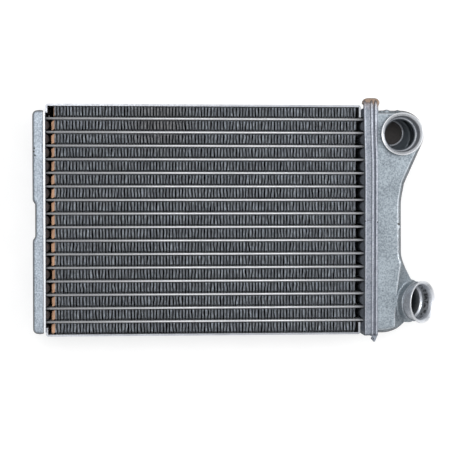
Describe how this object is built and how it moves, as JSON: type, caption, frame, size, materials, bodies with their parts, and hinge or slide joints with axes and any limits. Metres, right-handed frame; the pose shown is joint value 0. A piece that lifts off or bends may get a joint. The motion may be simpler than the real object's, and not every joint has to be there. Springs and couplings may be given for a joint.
{
  "type": "heater core",
  "caption": "Brazed aluminium core of flat tubes and corrugated fins between end tanks, with an upright and a tilted round socket on the wider tank.",
  "frame": {"origin": "middle of the footprint, at the level of the header and tank backs that the core rests on", "axes": "+X towards the tank with the sockets, +Y towards the upper socket, +Z out of the face that the upper socket opens on"},
  "size_m": [0.2782, 0.1674, 0.0455],
  "materials": {
    "tank_metal": "matt, fine speckle",
    "header_metal": "satin",
    "plate_metal": "satin",
    "port_metal": "turned, bright rim",
    "tube_metal": "bright edge",
    "fin_metal": "thin sheet"
  },
  "bodies": {
    "root": {"inlet_outlet_tank": "tank_metal", "return_tank": "tank_metal", "port_header": "header_metal", "return_header": "header_metal", "top_side_plate": "plate_metal", "bottom_side_plate": "plate_metal", "upper_port": "port_metal", "lower_port": "port_metal", "baffle": "plate_metal", "flat_tube_01": "tube_metal", "flat_tube_02": "tube_metal", "flat_tube_03": "tube_metal", "flat_tube_04": "tube_metal", "flat_tube_05": "tube_metal", "flat_tube_06": "tube_metal", "flat_tube_07": "tube_metal", "flat_tube_08": "tube_metal", "flat_tube_09": "tube_metal", "flat_tube_10": "tube_metal", "flat_tube_11": "tube_metal", "flat_tube_12": "tube_metal", "flat_tube_13": "tube_metal", "flat_tube_14": "tube_metal", "flat_tube_15": "tube_metal", "flat_tube_16": "tube_metal", "fin_01": "fin_metal", "fin_02": "fin_metal", "fin_03": "fin_metal", "fin_04": "fin_metal", "fin_05": "fin_metal", "fin_06": "fin_metal", "fin_07": "fin_metal", "fin_08": "fin_metal", "fin_09": "fin_metal", "fin_10": "fin_metal", "fin_11": "fin_metal", "fin_12": "fin_metal", "fin_13": "fin_metal", "fin_14": "fin_metal", "fin_15": "fin_metal", "fin_16": "fin_metal", "fin_17": "fin_metal"}
  },
  "joints": []
}
